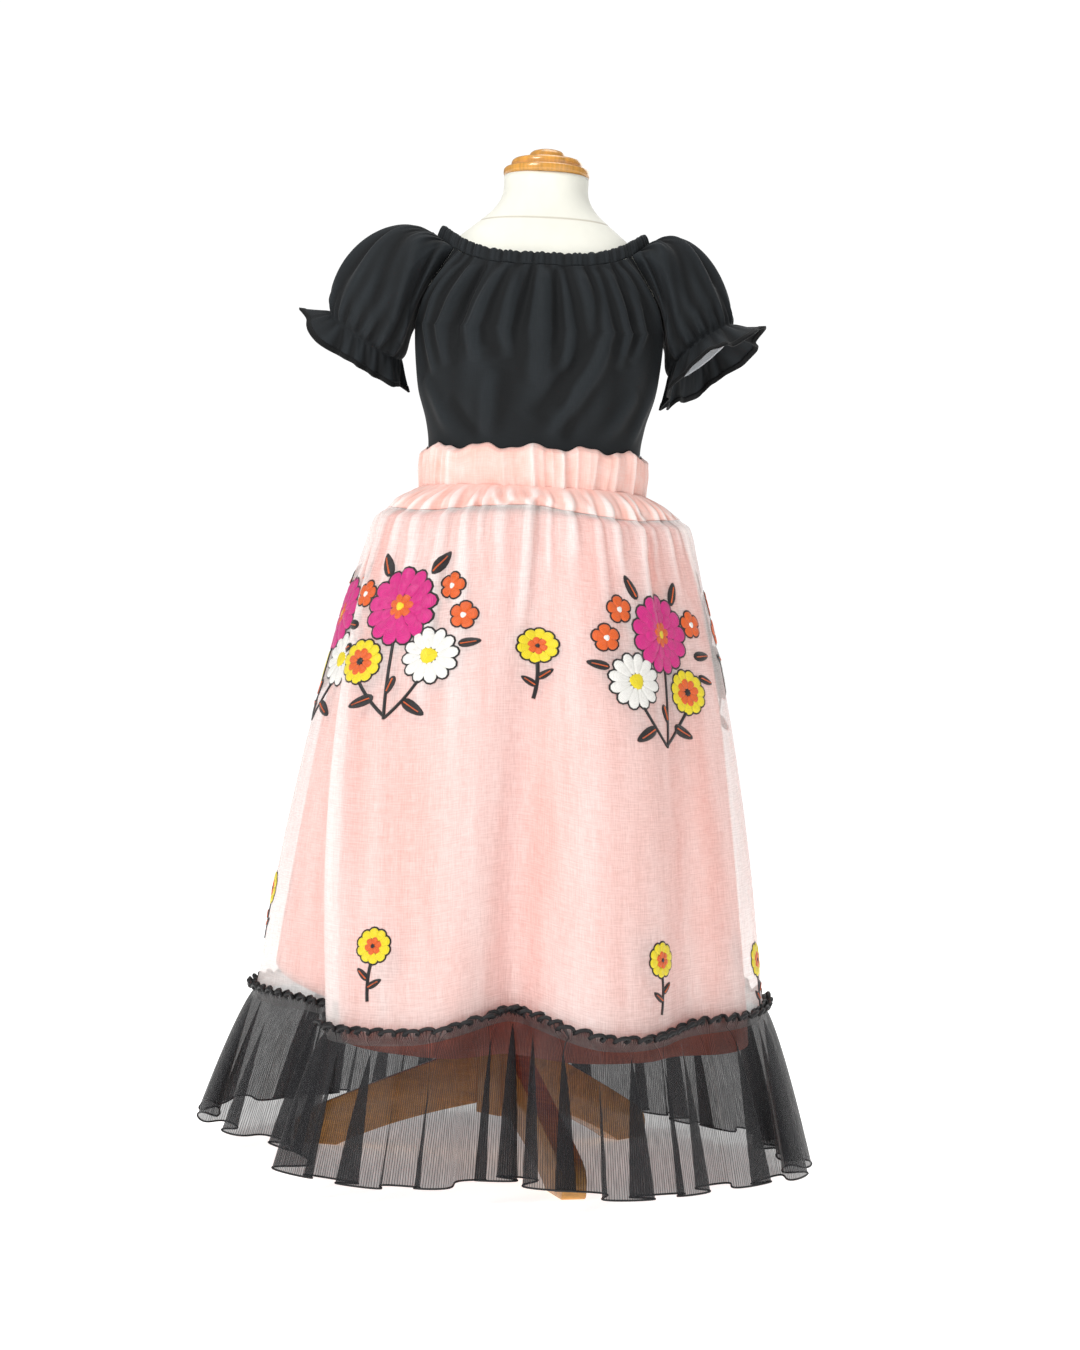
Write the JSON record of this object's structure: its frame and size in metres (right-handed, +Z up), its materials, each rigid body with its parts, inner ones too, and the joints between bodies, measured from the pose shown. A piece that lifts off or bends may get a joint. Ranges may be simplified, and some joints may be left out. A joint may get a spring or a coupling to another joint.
{
  "type": "skirt and blouse set on a dress form",
  "caption": "Black elastic-necked puff-sleeve blouse tucked into a long gathered gauze skirt with a net ruffle, on a limbless dress form with a wooden tripod.",
  "frame": {"origin": "on the floor, at the centre of the skirt's outline, under the dress form's own vertical axis", "axes": "+Z up, the garment's front towards -Y, +X towards the viewer's right from the front"},
  "size_m": [0.7049, 0.6627, 1.169],
  "materials": {
    "form_canvas": "matt cream canvas",
    "wood": "gloss honey-brown varnish",
    "black_cotton": "matt black cotton poplin",
    "white_elastic": "woven white elastic",
    "pink_gauze": "sheer white gauze over coral lining",
    "coral_lining": "plain coral lining",
    "black_net": "ribbed black net"
  },
  "bodies": {
    "root": {"form_torso": "form_canvas", "neck_cap": "wood", "stand_hub": "wood", "stand_pole": "wood", "stand_leg_1": "wood", "stand_leg_2": "wood", "stand_leg_3": "wood", "neckline_casing": "black_cotton", "blouse_front": "black_cotton", "blouse_back": "black_cotton", "sleeve_right_front": "black_cotton", "sleeve_right_back": "black_cotton", "sleeve_left_front": "black_cotton", "sleeve_left_back": "black_cotton", "cuff_frill_right": "black_cotton", "cuff_frill_left": "black_cotton", "cuff_elastic_right": "white_elastic", "cuff_elastic_left": "white_elastic", "skirt_waistband": "pink_gauze", "skirt_yoke": "pink_gauze", "skirt_front": "pink_gauze", "skirt_back": "pink_gauze", "lining_yoke_front": "coral_lining", "lining_yoke_right": "coral_lining", "lining_yoke_back": "coral_lining", "lining_yoke_left": "coral_lining", "skirt_lining": "coral_lining", "hem_ruffle": "black_net"}
  },
  "joints": []
}
